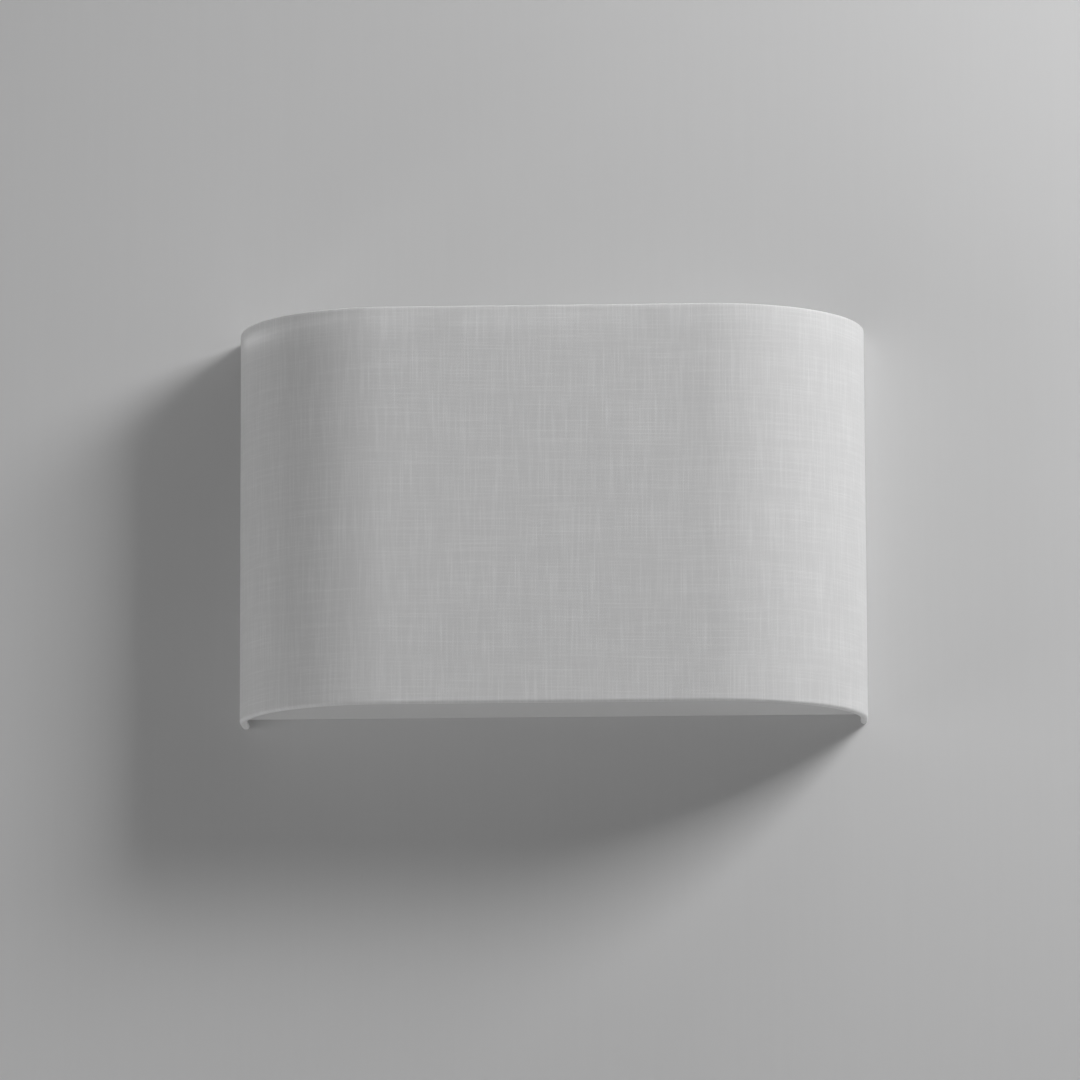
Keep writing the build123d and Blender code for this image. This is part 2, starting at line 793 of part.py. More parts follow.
# ---------------------------------------------------------------- bulbs

cap_inner = cap_root_diameter / 2 - cap_sheet
cap_outline = [(cap_inner - cap_lip, cap_start), (cap_root_diameter / 2, cap_start)]
for turn in range(thread_turns):
    ridge = thread_start + turn * thread_pitch
    cap_outline += [
        (cap_root_diameter / 2, ridge),
        (cap_diameter / 2, ridge + 0.35 * thread_pitch),
        (cap_diameter / 2, ridge + 0.55 * thread_pitch),
        (cap_root_diameter / 2, ridge + 0.9 * thread_pitch),
    ]
cap_outline += [
    (cap_root_diameter / 2, cap_top - cap_sheet),
    (cap_rim_diameter / 2, cap_top),
    (cap_rim_diameter / 2, cap_top + cap_rim_height),
    (cap_inner, cap_top + cap_rim_height),
    (cap_inner, cap_start + cap_sheet),
    (cap_inner - cap_lip, cap_start + cap_sheet),
]
insulator_outline = [
    (tip_diameter / 2, insulator_start),
    (insulator_tip_diameter / 2, insulator_start),
    (cap_root_diameter / 2, cap_start - lay_gap),
    (tip_diameter / 2, cap_start - lay_gap),
]
tip_steps = [(tip_diameter - 2 * lay_gap, 0, cap_start)]
base_low = cap_top + cap_rim_height + lay_gap
base_foot = cap_rim_diameter / 2 + base_foot_step
spigot_radius = cap_inner - lay_gap
base_outline = [
    (spigot_radius - globe_wall, base_low - base_spigot),
    (spigot_radius, base_low - base_spigot),
    (spigot_radius, base_low),
    (base_foot, base_low),
    (seam_radius, globe_seam - base_rim_height),
    (seam_radius, globe_seam - lay_gap),
    (seam_radius - globe_wall, globe_seam - lay_gap),
    (seam_radius - globe_wall, globe_seam - base_rim_height),
    (base_foot - globe_wall, base_low + globe_wall),
    (spigot_radius - globe_wall, base_low + globe_wall),
]
board_top = globe_seam - lay_gap
board_steps = [
    (2 * (seam_radius - globe_wall - board_edge_gap), board_top - board_thickness, board_top)
]
for side_name, side in sides:
    bulb_pieces = {
        "bulb_tip": turned(tip_steps),
        "bulb_insulator": revolved(insulator_outline),
        "bulb_cap": revolved(cap_outline),
        "bulb_base": revolved(base_outline),
        "bulb_board": turned(board_steps),
    }
    for piece_name, piece in bulb_pieces.items():
        with BuildPart() as bulb_piece:
            with Locations(lamp_point(side, tip_z)):
                add(piece)
        save(bulb_piece.part, f"{side_name}_{piece_name}")

    with BuildPart() as bulb_globe:
        with BuildSketch(lamp_plane(side, tip_z + globe_middle)):
            with Locations((0, globe_seam - globe_middle)):
                Rectangle(globe_radius, globe_diameter, align=(Align.MIN, Align.MIN))
            Circle(globe_radius, mode=Mode.INTERSECT)
            Circle(globe_radius - globe_wall, mode=Mode.SUBTRACT)
        revolve(axis=Axis(lamp_point(side, 0), (0, 0, 1)))
    save(bulb_globe.part, f"{side_name}_bulb_globe")

# ---------------------------------------------------------------- terminal block

clamp_places = [(x, z) for x in (-clamp_screw_spread, clamp_screw_spread) for z in pole_heights]
with BuildPart() as terminal_block:
    with BuildSketch(wall_plane(pan_depth + lay_gap)):
        with Locations((0, block_middle_height)):
            RectangleRounded(block_width, block_height, block_corner)
    extrude(amount=block_depth)
    fillet(terminal_block.faces().sort_by(Axis.Y)[0].edges(), block_corner / 2)
    for height in pole_heights:
        with BuildSketch(pole_plane(height)):
            Circle(mouth_diameter / 2)
        extrude(amount=block_width, both=True, mode=Mode.SUBTRACT)
        with BuildSketch(pole_plane(height)):
            Circle(sleeve_diameter / 2 + lay_gap)
        extrude(amount=sleeve_length / 2 + lay_gap, both=True, mode=Mode.SUBTRACT)
    with BuildSketch(wall_plane(sleeve_reach)):
        with Locations(*clamp_places):
            Circle(well_diameter / 2)
    extrude(amount=block_depth, mode=Mode.SUBTRACT)
    with BuildSketch(wall_plane(pan_depth)):
        with Locations(*block_screw_places):
            Circle(block_screw_diameter / 2 + screw_clearance)
    extrude(amount=2 * block_depth, mode=Mode.SUBTRACT)
save(terminal_block.part, "terminal_block")

with BuildPart() as terminal_sleeves:
    for height in pole_heights:
        with BuildSketch(pole_plane(height)):
            Circle(sleeve_diameter / 2)
            Circle(sleeve_bore / 2, mode=Mode.SUBTRACT)
        extrude(amount=sleeve_length / 2, both=True)
    with BuildSketch(wall_plane(sleeve_reach)):
        with Locations(*clamp_places):
            Circle(clamp_screw_diameter / 2 + screw_clearance)
    extrude(amount=sleeve_diameter, mode=Mode.SUBTRACT)
save(terminal_sleeves.part, "terminal_sleeves")

clamp_tip = sleeve_reach + lead_radius + lay_gap
clamp_head_top = block_front - clamp_head_sink - clamp_tip
clamp_steps = [
    (clamp_screw_diameter, 0, clamp_head_top),
    (clamp_head_diameter, clamp_head_top - clamp_head_height, clamp_head_top),
]
with BuildPart() as clamp_screws:
    with Locations(wall_plane(clamp_tip)):
        with Locations(*clamp_places):
            add(slotted_screw(clamp_steps, clamp_head_top))
save(clamp_screws.part, "clamp_screws")

block_screw_start = block_front + lay_gap
block_screw_steps = [
    (block_screw_diameter, -(block_screw_start - pan_depth + pan_thickness + block_screw_tail), 0),
    (block_screw_head, 0, block_screw_head_height),
]
with BuildPart() as block_screws:
    with Locations(wall_plane(block_screw_start)):
        with Locations(*block_screw_places):
            add(slotted_screw(block_screw_steps, block_screw_head_height))
save(block_screws.part, "block_screws")

# ---------------------------------------------------------------- earth connection

tag_front = pan_depth + lay_gap + tag_thickness
earth_place = (earth_screw_x, earth_screw_height)
with BuildPart() as earth_tag:
    with BuildSketch(wall_plane(pan_depth + lay_gap)):
        with Locations(earth_place):
            Circle(tag_diameter / 2)
            Rectangle(
                2 * tag_barrel_radius,
                earth_screw_height - tag_barrel_top + tag_overlap,
                align=(Align.CENTER, Align.MAX),
            )
            Circle(earth_screw_diameter / 2 + screw_clearance, mode=Mode.SUBTRACT)
    extrude(amount=tag_thickness)
    with BuildSketch(Plane.XY.offset(tag_barrel_top)):
        with Locations((earth_screw_x, -tag_barrel_reach)):
            Circle(tag_barrel_radius)
    extrude(amount=-tag_barrel_length)
    with BuildSketch(Plane.XY.offset(tag_barrel_top - tag_barrel_length)):
        with Locations((earth_screw_x, -tag_barrel_reach)):
            Circle(lead_radius + glue_line)
    extrude(amount=tag_barrel_length + tag_overlap, mode=Mode.SUBTRACT)
save(earth_tag.part, "earth_tag")

earth_tail = -(tag_front + lay_gap - pan_depth + pan_thickness + earth_screw_tail)
with BuildPart() as earth_screw:
    with Locations(wall_plane(tag_front + lay_gap)):
        with Locations(earth_place):
            earth_steps = [
                (earth_screw_diameter, earth_tail, 0),
                (earth_screw_head, 0, earth_screw_head_height),
            ]
            add(slotted_screw(earth_steps, earth_screw_head_height))
save(earth_screw.part, "earth_screw")

with BuildPart() as earth_nut:
    with Locations(wall_plane(pan_depth - pan_thickness - lay_gap - earth_nut_height)):
        with Locations(earth_place):
            nut_bore = earth_screw_diameter + 2 * screw_clearance
            add(hex_ring(earth_nut_flats, nut_bore, earth_nut_height))
save(earth_nut.part, "earth_nut")

# ---------------------------------------------------------------- leads

tag_mouth = tag_barrel_top - tag_barrel_length
sweep_x, sweep_reach, sweep_z = earth_lead_sweep
earth_points = [
    (lead_inner_end, sleeve_reach, earth_pole),
    (block_width / 2 + earth_lead_straight, sleeve_reach, earth_pole),
    (earth_screw_x + sweep_x, sleeve_reach + sweep_reach, earth_pole + sweep_z),
    (earth_screw_x, tag_barrel_reach, tag_mouth - earth_lead_rise),
    (earth_screw_x, tag_barrel_reach, tag_mouth + lead_insertion),
]
with BuildPart() as earth_lead:
    add(lead(earth_points))
save(earth_lead.part, "earth_lead")

for side_name, side in sides:
    with BuildPart() as lamp_leads:
        for pole, (port_x, port_z) in zip((neutral_pole, live_pole), lead_ports(side)):
            lead_points = [
                (side * lead_inner_end, sleeve_reach, pole),
                (side * (block_width / 2 + lead_straight), sleeve_reach, pole),
                (side * (block_width / 2 + lead_spread_run), sleeve_reach + lead_bow, port_z),
                (port_x, sleeve_reach, port_z),
                (port_x, port_reach, port_z),
            ]
            add(lead(lead_points))
    save(lamp_leads.part, f"{side_name}_leads")
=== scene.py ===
"""Fabric shade wall light: the dressed model on a painted wall, seen as in the photograph."""

import json
import math

import bpy
from mathutils import Matrix, Vector


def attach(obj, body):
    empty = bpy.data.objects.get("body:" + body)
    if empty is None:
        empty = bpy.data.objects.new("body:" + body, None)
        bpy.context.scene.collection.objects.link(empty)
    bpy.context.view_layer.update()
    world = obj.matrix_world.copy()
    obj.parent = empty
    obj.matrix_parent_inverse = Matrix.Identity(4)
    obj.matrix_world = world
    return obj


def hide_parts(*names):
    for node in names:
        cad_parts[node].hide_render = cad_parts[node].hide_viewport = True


MM = 0.001

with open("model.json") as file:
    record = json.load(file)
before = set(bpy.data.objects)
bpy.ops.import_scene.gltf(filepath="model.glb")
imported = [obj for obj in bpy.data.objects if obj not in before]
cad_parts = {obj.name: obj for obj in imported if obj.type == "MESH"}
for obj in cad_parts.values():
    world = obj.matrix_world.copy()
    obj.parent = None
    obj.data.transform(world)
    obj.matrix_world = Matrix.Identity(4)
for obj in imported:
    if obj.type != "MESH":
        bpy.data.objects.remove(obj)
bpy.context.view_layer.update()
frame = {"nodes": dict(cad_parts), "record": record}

# ---------------------------------------------------------------- camera

# radians: upward, to the left of straight ahead, and about the line of sight
PITCH, YAW, ROLL = 0.1626, 0.0389, -0.0039
CAMERA_PLACE = (0.1202, -3.2587, -0.5387)
SENSOR_WIDTH = 36.0
FOCAL_LENGTH = 228.85
FAR_CLIP = 50.0

ahead = Vector(
    (-math.sin(YAW) * math.cos(PITCH), math.cos(YAW) * math.cos(PITCH), math.sin(PITCH))
)
level_right = Vector((math.cos(YAW), math.sin(YAW), 0))
level_up = level_right.cross(ahead)
right = math.cos(ROLL) * level_right + math.sin(ROLL) * level_up
up = math.cos(ROLL) * level_up - math.sin(ROLL) * level_right

camera_data = bpy.data.cameras.new("camera")
camera_data.sensor_width = SENSOR_WIDTH
camera_data.lens = FOCAL_LENGTH
camera_data.clip_end = FAR_CLIP
camera = bpy.data.objects.new("camera", camera_data)
camera.matrix_world = Matrix.Translation(CAMERA_PLACE) @ (
    Matrix((right, up, -ahead)).transposed().to_4x4()
)
bpy.context.scene.collection.objects.link(camera)
bpy.context.scene.camera = camera

# ---------------------------------------------------------------- shader helpers


class Shader:
    """The nodes of a new material or world, with short calls that return a node's output."""

    def __init__(self, data):
        self.data = data
        self.data.use_nodes = True
        self.tree = self.data.node_tree
        self.tree.nodes.clear()

    def add(self, kind, inputs=(), **settings):
        """Add one node. inputs are (socket, value or output) pairs, settings are properties."""
        node = self.tree.nodes.new(kind)
        for name, value in settings.items():
            setattr(node, name, value)
        for socket, value in inputs:
            if isinstance(value, bpy.types.NodeSocket):
                self.tree.links.new(value, node.inputs[socket])
            else:
                node.inputs[socket].default_value = value
        return node

    def place(self):
        """Object coordinates in metres."""
        return self.add("ShaderNodeTexCoord").outputs["Object"]

    def stretch(self, vector, scale):
        """A vector times a scale for each axis."""
        node = self.add("ShaderNodeVectorMath", [(0, vector), (1, scale)], operation="MULTIPLY")
        return node.outputs[0]

    def noise(self, vector, scale, detail=2.0, roughness=0.5):
        """Noise from 0 to 1 around 0.5, with a scale in features a metre for each axis."""
        inputs = [
            ("Vector", self.stretch(vector, scale)),
            ("Scale", 1.0),
            ("Detail", detail),
            ("Roughness", roughness),
        ]
        return self.add("ShaderNodeTexNoise", inputs).outputs["Fac"]

    def maths(self, operation, a, b=0.0, c=0.0):
        """One sum on numbers."""
        node = self.add("ShaderNodeMath", [(0, a), (1, b), (2, c)], operation=operation)
        return node.outputs[0]

    def sway(self, value, amount, base=0.0):
        """A noise moved to swing around 0, times an amount, added to a base."""
        return self.maths("MULTIPLY_ADD", self.maths("SUBTRACT", value, 0.5), amount, base)

    def remap(self, value, low, high, to_low, to_high):
        """A number from one range to another, held inside it."""
        inputs = [
            ("Value", value),
            ("From Min", low),
            ("From Max", high),
            ("To Min", to_low),
            ("To Max", to_high),
        ]
        return self.add("ShaderNodeMapRange", inputs).outputs["Result"]

    def blend(self, share, a, b, blend_type="MIX"):
        """Colour a to colour b by a share."""
        inputs = [(0, share), (6, a), (7, b)]
        node = self.add("ShaderNodeMix", inputs, data_type="RGBA", blend_type=blend_type)
        return node.outputs[2]

    def bump(self, height, distance, strength):
        """Normal from a height that is 0 to 1, with the distance in metres."""
        inputs = [("Height", height), ("Distance", distance), ("Strength", strength)]
        return self.add("ShaderNodeBump", inputs).outputs["Normal"]

    def principled(self, **inputs):
        """Principled shader: base_color=... sets the socket Base Color."""
        pairs = [(name.replace("_", " ").title(), value) for name, value in inputs.items()]
        pairs = [(name.replace("Ior", "IOR"), value) for name, value in pairs]
        return self.add("ShaderNodeBsdfPrincipled", pairs).outputs["BSDF"]

    def translucent(self, colour):
        """Light that comes through from the other side."""
        return self.add("ShaderNodeBsdfTranslucent", [("Color", colour)]).outputs[0]

    def mix_shader(self, share, a, b):
        """Shader a to shader b by a share."""
        return self.add("ShaderNodeMixShader", [(0, share), (1, a), (2, b)]).outputs[0]

    def seen(self):
        """1 for what the camera sees directly, in gloss or through something clear."""
        path = self.add("ShaderNodeLightPath").outputs
        direct = self.maths("MAXIMUM", path["Is Camera Ray"], path["Is Glossy Ray"])
        return self.maths("MAXIMUM", direct, path["Is Transmission Ray"])

    def finish(self, surface, output="ShaderNodeOutputMaterial"):
        """Wire the shader to the output and return the material or world."""
        self.add(output, [("Surface", surface)])
        return self.data


def new_material(name):
    """An empty node material."""
    return Shader(bpy.data.materials.new(name))


def grey(value):
    """Neutral colour."""
    return (value, value, value, 1)


def shade_of(colour, factor):
    """A colour made lighter or darker."""
    return (*[min(1, factor * c) for c in colour[:3]], 1)


# ---------------------------------------------------------------- linen

WARP_PITCH = 0.58 * MM
WEFT_PITCH = 0.66 * MM
WARP_SLUBS = 40
WEFT_SLUBS = 26
THREADS_APART = 2.618
LINEN_DARK = (0.785, 0.785, 0.786, 1)
LINEN_LIGHT = (0.965, 0.965, 0.966, 1)
LINEN_RELIEF = 0.12 * MM
THROUGH_COLOUR = grey(0.965)
THROUGH_SHARE = 0.42


def slub(m, number, along, a_metre):
    """Thicker, lighter lengths of a numbered thread, 0 to 1. Neighbours have their own."""
    apart = m.maths("MULTIPLY", number, THREADS_APART)
    spaced = m.maths("MULTIPLY", along, a_metre)
    place = m.add("ShaderNodeCombineXYZ", [(0, apart), (1, spaced)]).outputs[0]
    return m.remap(m.noise(place, (1, 1, 1), 1.0), 0.45, 0.78, 0.0, 1.0)


def thread_height(m, place, over, thick):
    """Round threads side by side, higher where they pass over and where they are thick."""
    crown = m.maths("ABSOLUTE", m.maths("SINE", m.maths("MULTIPLY", place, math.pi)))
    lift = m.maths("MULTIPLY_ADD", over, 0.5, m.maths("MULTIPLY_ADD", thick, 0.5, 0.4))
    return m.maths("MULTIPLY", crown, lift)


def linen_material():
    """Slubbed plain weave: the UV map is in metres, u along the weft and v along the warp."""
    m = new_material("linen")
    uv = m.add("ShaderNodeUVMap", uv_map="weave").outputs["UV"]
    parts = m.add("ShaderNodeSeparateXYZ", [(0, uv)])
    along, upward = parts.outputs[0], parts.outputs[1]
    drift = m.sway(m.noise(uv, (260, 60, 1), 1.0), 1.0)
    u = m.maths("MULTIPLY_ADD", along, 1 / WARP_PITCH, drift)
    v = m.maths("MULTIPLY_ADD", upward, 1 / WEFT_PITCH, drift)
    warp_number, weft_number = m.maths("FLOOR", u), m.maths("FLOOR", v)
    warp_over = m.maths("PINGPONG", m.maths("ADD", warp_number, weft_number), 1.0)
    weft_over = m.maths("SUBTRACT", 1.0, warp_over)
    warp_slub = slub(m, warp_number, upward, WARP_SLUBS)
    weft_slub = slub(m, weft_number, along, WEFT_SLUBS)
    warp = thread_height(m, u, warp_over, warp_slub)
    weft = thread_height(m, v, weft_over, weft_slub)
    height = m.maths("MAXIMUM", warp, weft)
    tone = m.maths("MULTIPLY_ADD", weft_slub, 0.6, warp_slub)
    tone = m.sway(m.noise(uv, (1900, 1700, 1), 1.0), 0.6, tone)
    tone = m.sway(m.noise(uv, (55, 40, 1)), 0.15, tone)
    colour = m.blend(m.remap(tone, 0.0, 1.6, 0.0, 1.0), LINEN_DARK, LINEN_LIGHT)
    # painted shade: the base colour darkens to 0.88 where the threads lie low, between and under
    # the crossing threads
    thread_gap_painted_shade = m.remap(height, 0.1, 0.6, 0.88, 1.0)
    front = m.principled(
        base_color=m.blend(1.0, colour, thread_gap_painted_shade, "MULTIPLY"),
        roughness=0.9,
        specular_ior_level=0.15,
        normal=m.bump(height, LINEN_RELIEF, 0.5),
        sheen_weight=0.05,
        sheen_roughness=0.5,
    )
    return m.finish(m.mix_shader(THROUGH_SHARE, front, m.translucent(THROUGH_COLOUR)))


# ---------------------------------------------------------------- other materials
# pebble is the grain of a skin in features a metre, relief its depth in millimetres


def sheet_material(name, colour, through, roughness, pebble, relief, gloss=0.5):
    """Pale plastic sheet that lets some light through."""
    m = new_material(name)
    place = m.place()
    cloud = m.noise(place, (26, 26, 26), 3.0)
    grain = m.noise(place, (pebble, pebble, pebble))
    front = m.principled(
        base_color=m.blend(cloud, shade_of(colour, 0.97), shade_of(colour, 1.02)),
        roughness=m.remap(grain, 0.3, 0.7, roughness - 0.05, roughness + 0.08),
        normal=m.bump(grain, relief * MM, 0.4),
        ior=1.49,
        specular_ior_level=gloss,
    )
    return m.finish(m.mix_shader(through, front, m.translucent(colour)))


def moulded_material(name, colour, roughness, pebble, relief):
    """Moulded or painted skin: fine pebble, faint flow marks and dull patches."""
    m = new_material(name)
    place = m.place()
    cloud = m.noise(place, (55, 55, 90), 4.0, 0.55)
    grain = m.noise(place, (pebble, pebble, pebble))
    return m.finish(
        m.principled(
            base_color=m.blend(cloud, shade_of(colour, 0.93), shade_of(colour, 1.05)),
            roughness=m.remap(cloud, 0.35, 0.65, roughness - 0.07, roughness + 0.09),
            normal=m.bump(grain, relief * MM, 0.6),
            ior=1.5,
            coat_roughness=0.2,
        )
    )


def metal_material(name, colour, roughness, grain=(900, 900, 40), relief=0.006, stain=0.1):
    """Bare or plated metal: fine drawn lines, a cloudy plate and small dull spots."""
    m = new_material(name)
    place = m.place()
    lines = m.noise(place, grain, 3.0, 0.6)
    cloud = m.noise(place, (90, 90, 90), 4.0, 0.6)
    spots = m.remap(m.noise(place, (420, 420, 420)), 0.58, 0.7, 0.0, 1.0)
    tone = m.blend(cloud, shade_of(colour, 1 - stain), shade_of(colour, 1 + stain))
    rough = m.remap(lines, 0.3, 0.7, roughness - 0.08, roughness + 0.1)
    return m.finish(
        m.principled(
            base_color=m.blend(m.maths("MULTIPLY", spots, 0.35), tone, shade_of(colour, 0.6)),
            metallic=1.0,
            roughness=m.maths("MULTIPLY_ADD", spots, 0.15, rough),
            normal=m.bump(lines, relief * MM, 0.5),
        )
    )


def sleeve_material(name, ground, stripe=None, pitch=0.9, relief=0.12):
    """Lead insulation: a fine woven sleeve, or a smooth one with a long stripe."""
    m = new_material(name)
    place = m.place()
    x, y, z = m.add("ShaderNodeSeparateXYZ", [(0, place)]).outputs
    turns = math.pi / (pitch * MM)
    diagonal = m.maths("ADD", x, z)
    other = m.maths("SUBTRACT", x, m.maths("ADD", y, z))
    one = m.maths("SINE", m.maths("MULTIPLY", diagonal, turns))
    two = m.maths("SINE", m.maths("MULTIPLY", other, turns))
    weave = m.remap(m.maths("MULTIPLY", one, two), -1.0, 1.0, 0.0, 1.0)
    cloud = m.noise(place, (300, 300, 300))
    tone = m.blend(cloud, shade_of(ground, 0.9), shade_of(ground, 1.05))
    if stripe is None:
        tone = m.blend(m.maths("MULTIPLY", weave, 0.35), tone, shade_of(ground, 0.72))
    else:
        side = m.remap(m.maths("SUBTRACT", weave, 0.5), -0.02, 0.02, 0.0, 1.0)
        tone = m.blend(side, tone, stripe)
    return m.finish(
        m.principled(
            base_color=tone,
            roughness=m.remap(cloud, 0.3, 0.7, 0.5, 0.7),
            normal=m.bump(weave, relief * MM, 0.4),
        )
    )


# for each slot of the record, its kind and, in order, what the function of that kind takes
recipes = {
    "styrene": (sheet_material, grey(0.95), 0.9, 0.5, 1400, 0.03),
    "opal_acrylic": (sheet_material, grey(0.7), 0.3, 0.6, 900, 0.02, 0.3),
    "opal_globe": (sheet_material, (0.9, 0.9, 0.885, 1), 0.3, 0.22, 500, 0.01),
    "white_wire": (moulded_material, (0.74, 0.74, 0.73, 1), 0.4, 1500, 0.05),
    "white_paint": (moulded_material, grey(0.7), 0.5, 1100, 0.07),
    "grey_rubber": (moulded_material, (0.035, 0.035, 0.037, 1), 0.7, 1800, 0.05),
    "holder_plastic": (moulded_material, (0.72, 0.72, 0.69, 1), 0.36, 1600, 0.03),
    "block_nylon": (moulded_material, (0.66, 0.65, 0.59, 1), 0.42, 1300, 0.04),
    "bulb_plastic": (moulded_material, (0.78, 0.78, 0.76, 1), 0.3, 1500, 0.02),
    "black_insulator": (moulded_material, (0.01, 0.01, 0.012, 1), 0.15, 700, 0.01),
    "zinc_steel": (metal_material, (0.56, 0.57, 0.6, 1), 0.37, (40, 700, 900)),
    "nickel": (metal_material, (0.7, 0.68, 0.63, 1), 0.2, (300, 300, 900), 0.003, 0.05),
    "spring_steel": (metal_material, (0.3, 0.32, 0.36, 1), 0.32, (900, 60, 900)),
    "rivet_aluminium": (metal_material, (0.74, 0.74, 0.75, 1), 0.36),
    "brass": (metal_material, (0.72, 0.5, 0.2, 1), 0.3, (60, 900, 900)),
    "tinned_copper": (metal_material, (0.66, 0.66, 0.65, 1), 0.38),
    "earth_sleeve": (sleeve_material, (0.06, 0.22, 0.05, 1), (0.72, 0.6, 0.04, 1), 4.2, 0.0),
    "lead_sleeve": (sleeve_material, (0.66, 0.64, 0.57, 1)),
}
looks = {slot: make(slot, *values) for slot, (make, *values) in recipes.items()}

for part in frame["record"]["subparts"]:
    node, slot = frame["nodes"].get(part["node"]), part.get("material_slot")
    if node is not None and slot in looks:
        node.data.materials.clear()
        node.data.materials.append(looks[slot])

# ---------------------------------------------------------------- shade cloth
# u is the distance inward from the outer face of the cloth

HALF_WIDTH = 150.0 * MM
HALF_HEIGHT = 94.5 * MM
CORNER = 74.0 * MM
STRAIGHT = 12.0 * MM
WALL_GAP = 0.5 * MM
CLOTH = 0.4 * MM
WIRE = 1.1 * MM
ROLL_IN = WIRE + 0.05 * MM
ROLL_OUT = ROLL_IN + CLOTH
CREASE = 0.6 * MM
CREASE_FOOT = 0.1 * MM
RING_U = 2.0 * MM
RING_Z = HALF_HEIGHT - ROLL_OUT
SIDE_STEPS, CORNER_STEPS, FRONT_STEPS = 5, 44, 56
FACE_STEPS, EDGE_STEPS = 40, 10


def plan_points():
    """Outer outline in plan as (point, inward normal, distance along), left wall end to right."""
    found = []
    flat = HALF_WIDTH - CORNER
    depth = STRAIGHT + CORNER
    runs = [
        ("line", (-HALF_WIDTH, -WALL_GAP), (-HALF_WIDTH, -STRAIGHT), SIDE_STEPS),
        ("arc", (-flat, -STRAIGHT), math.pi, CORNER_STEPS),
        ("line", (-flat, -depth), (flat, -depth), FRONT_STEPS),
        ("arc", (flat, -STRAIGHT), 1.5 * math.pi, CORNER_STEPS),
        ("line", (HALF_WIDTH, -STRAIGHT), (HALF_WIDTH, -WALL_GAP), SIDE_STEPS),
    ]
    distance = 0.0
    for kind, a, b, steps in runs:
        for step in range(steps + 1):
            share = step / steps
            if kind == "line":
                start, end = Vector(a), Vector(b)
                point = start.lerp(end, share)
                along = (end - start).normalized()
            else:
                angle = b + share * math.pi / 2
                point = Vector(a) + CORNER * Vector((math.cos(angle), math.sin(angle)))
                along = Vector((-math.sin(angle), math.cos(angle)))
            if found:
                gap = (point - found[-1][0]).length
                if gap < 1e-7:
                    continue
                distance += gap
            found.append((point, Vector((-along.y, along.x)), distance))
    return found


def arc(centre, radius, start, end):
    """Points (u, z) on an arc, angles in degrees."""
    found = []
    for step in range(EDGE_STEPS + 1):
        angle = math.radians(start + (end - start) * step / EDGE_STEPS)
        found.append((centre[0] + radius * math.cos(angle), centre[1] + radius * math.sin(angle)))
    return found


def rolled_edge(roll, corner_centre, corner_radius, face):
    """Section of one edge (u, z): from under the wire, round it, to the face of the cloth."""
    round_wire = arc((RING_U, RING_Z), roll, -90, 90)
    corner = arc(corner_centre, corner_radius, 90, 180)
    return round_wire + corner + [(face, RING_Z - CREASE_FOOT)]


def cloth_section(face, roll):
    """One side of the cloth from the top tuck to the bottom one: creased above, round below."""
    top = rolled_edge(roll, (CREASE, HALF_HEIGHT - CREASE), CREASE - face, face)
    bottom = rolled_edge(roll, (ROLL_OUT, RING_Z), roll, face)
    steps = range(1, FACE_STEPS)
    wall = [(face, RING_Z * (1 - 2 * step / FACE_STEPS)) for step in steps]
    return top + wall + [(u, -z) for u, z in reversed(bottom)]


def make_cloth():
    """The shade's linen: one closed sheet, rolled over both ring wires and tucked under them."""
    plan = plan_points()
    outer = cloth_section(0.0, ROLL_OUT)
    inner = cloth_section(CLOTH, ROLL_IN)
    lengths = [0.0]
    for (u0, z0), (u1, z1) in zip(outer, outer[1:]):
        lengths.append(lengths[-1] + math.hypot(u1 - u0, z1 - z0))
    rows = outer + inner[::-1]
    row_v = lengths + lengths[::-1]
    count, half = len(rows), len(outer)
    vertices = []
    for point, inward, distance in plan:
        for u, z in rows:
            vertices.append((point.x + inward.x * u, point.y + inward.y * u, z))
    faces, uvs = [], []

    def add_face(corners):
        faces.append([column * count + row for column, row in corners])
        uvs.append([(plan[column][2], row_v[row]) for column, row in corners])

    for column in range(len(plan) - 1):
        for row in range(count):
            after = (row + 1) % count
            add_face([(column, row), (column, after), (column + 1, after), (column + 1, row)])
    for column in (0, len(plan) - 1):
        for row in range(half - 1):
            corners = [row, row + 1, count - 2 - row, count - 1 - row]
            if column == 0:
                corners.reverse()
            add_face([(column, corner) for corner in corners])

    mesh = bpy.data.meshes.new("shade_cloth")
    mesh.from_pydata(vertices, [], faces)
    layer = mesh.uv_layers.new(name="weave")
    for polygon, corners in zip(mesh.polygons, uvs):
        polygon.use_smooth = True
        for loop, uv in zip(polygon.loop_indices, corners):
            layer.data[loop].uv = uv
    mesh.validate()
    mesh.update()
    mesh.materials.append(linen_material())
    piece = bpy.data.objects.new("shade_cloth", mesh)
    bpy.context.scene.collection.objects.link(piece)
    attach(piece, "shade")
    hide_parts("shade_fabric")


make_cloth()

# ---------------------------------------------------------------- wall and floor

WALL_Y = 0.5 * MM
WALL_REACH = 2.5
WALL_TOP = 2.0
FLOOR_Z = -1.5
FLOOR_REACH = 4.0
FLOOR_NEAR = -6.0
FLOOR_GLOW = 0.6


def quad(name, corners, material):
    """A flat stage surface."""
    mesh = bpy.data.meshes.new(name)
    mesh.from_pydata(corners, [], [range(len(corners))])
    mesh.materials.append(material)
    piece = bpy.data.objects.new(name, mesh)
    bpy.context.scene.collection.objects.link(piece)


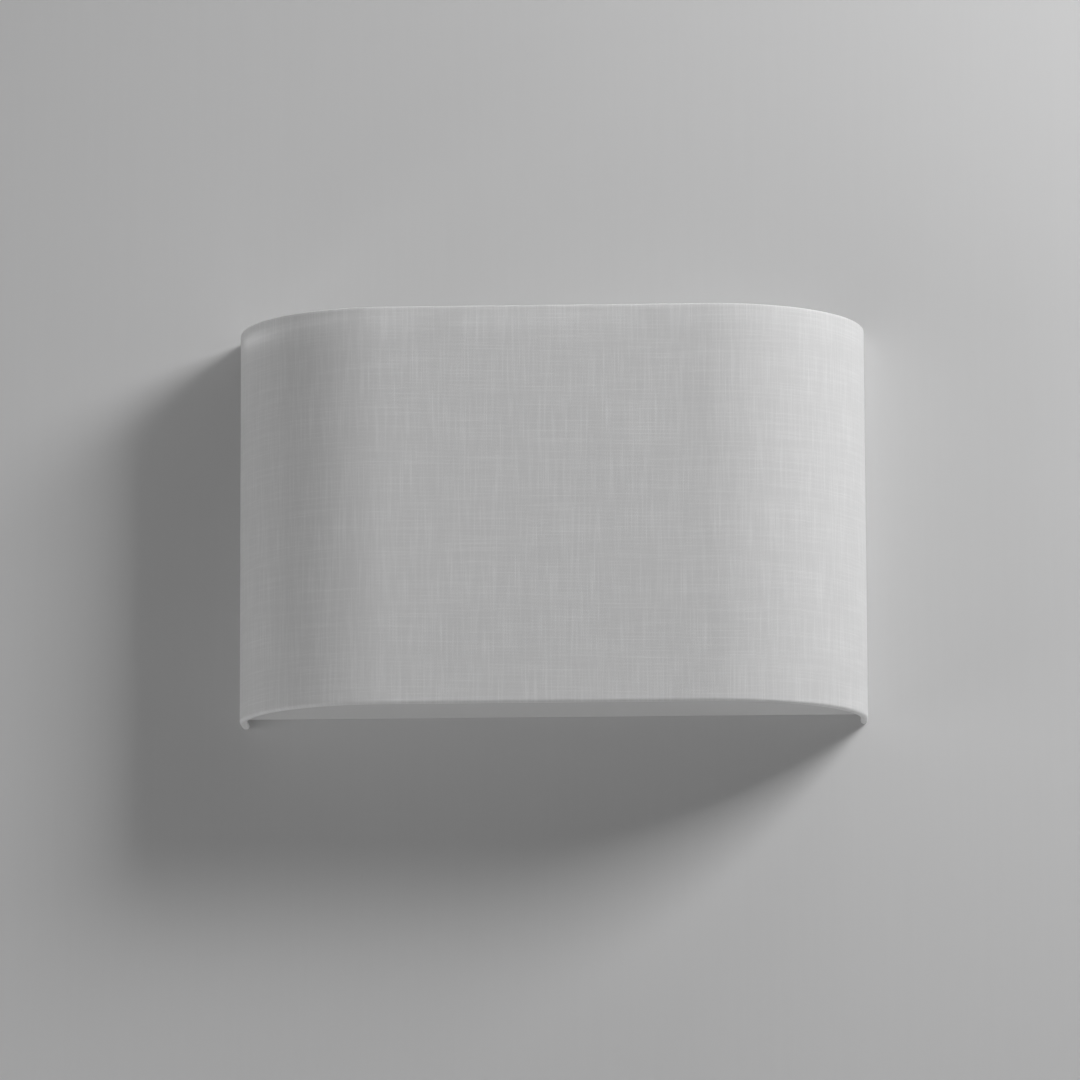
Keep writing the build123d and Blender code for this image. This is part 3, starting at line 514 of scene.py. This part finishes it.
def stage_material(name, colour, grain, amount, open_behind=False, glow=0.0):
    """Painted surface seen from its front only. open_behind lets the lamps behind it through.

    glow is the share of its own colour that is seen without any light.
    """
    m = new_material(name)
    place = m.place()
    fine = m.noise(place, grain, 4.0, 0.6)
    cloud = m.noise(place, (7, 7, 5))
    tone = m.blend(fine, shade_of(colour, 1 - amount), shade_of(colour, 1 + amount))
    tone = m.blend(m.maths("MULTIPLY", cloud, 0.12), tone, shade_of(colour, 0.9))
    front = m.principled(
        base_color=tone,
        roughness=0.75,
        specular_ior_level=0.15,
        normal=m.bump(fine, 0.1 * MM, 0.25),
    )
    if glow:
        own = m.add("ShaderNodeEmission", [("Color", tone)]).outputs[0]
        front = m.mix_shader(m.maths("MULTIPLY", m.seen(), glow), front, own)
    behind = m.add("ShaderNodeNewGeometry").outputs["Backfacing"]
    if open_behind:
        path = m.add("ShaderNodeLightPath").outputs
        behind = m.maths("MAXIMUM", behind, path["Is Shadow Ray"])
        behind = m.maths("MAXIMUM", behind, path["Is Glossy Ray"])
    clear = m.add("ShaderNodeBsdfTransparent").outputs[0]
    return m.finish(m.mix_shader(behind, front, clear))


quad(
    "wall",
    [
        (-WALL_REACH, WALL_Y, FLOOR_Z),
        (WALL_REACH, WALL_Y, FLOOR_Z),
        (WALL_REACH, WALL_Y, WALL_TOP),
        (-WALL_REACH, WALL_Y, WALL_TOP),
    ],
    stage_material("wall_paint", (0.64, 0.64, 0.642, 1), (260, 260, 9), 0.012, open_behind=True),
)
quad(
    "floor",
    [
        (-FLOOR_REACH, FLOOR_NEAR, FLOOR_Z),
        (FLOOR_REACH, FLOOR_NEAR, FLOOR_Z),
        (FLOOR_REACH, FLOOR_REACH, FLOOR_Z),
        (-FLOOR_REACH, FLOOR_REACH, FLOOR_Z),
    ],
    stage_material("floor_paint", grey(0.66), (60, 60, 60), 0.01, glow=FLOOR_GLOW),
)

# ---------------------------------------------------------------- light

SOFT_FILL = 0.07
PALE_BACKGROUND = 0.78


def area_light(name, place, size, level):
    """Square soft light aimed at the object. A level of 1 renders a facing colour as written."""
    data = bpy.data.lights.new(name, "AREA")
    data.shape = "SQUARE"
    data.size = size
    data.energy = level * math.pi**2 * Vector(place).length_squared
    light = bpy.data.objects.new(name, data)
    light.location = place
    light.rotation_euler = (-Vector(place)).to_track_quat("-Z", "Y").to_euler()
    bpy.context.scene.collection.objects.link(light)


area_light("window", place=(1.125, -0.833, 0.776), size=0.56, level=0.825)
area_light("left_bounce", place=(-1.3, -0.6, -0.4), size=0.8, level=0.205)
area_light("floor_bounce", place=(-0.5, -0.5, -1.2), size=0.8, level=0.09)
area_light("ceiling_bounce", place=(0.547, -0.21, 1.381), size=0.8, level=0.2)
area_light("back_fill", place=(1.2, 2.0, -0.6), size=1.6, level=0.32)

world = Shader(bpy.data.worlds.new("studio"))
fill = world.add("ShaderNodeBackground", [("Color", grey(SOFT_FILL))]).outputs[0]
pale = world.add("ShaderNodeBackground", [("Color", grey(PALE_BACKGROUND))]).outputs[0]
around = world.mix_shader(world.seen(), fill, pale)
bpy.context.scene.world = world.finish(around, "ShaderNodeOutputWorld")
bpy.context.scene.view_settings.view_transform = "Standard"
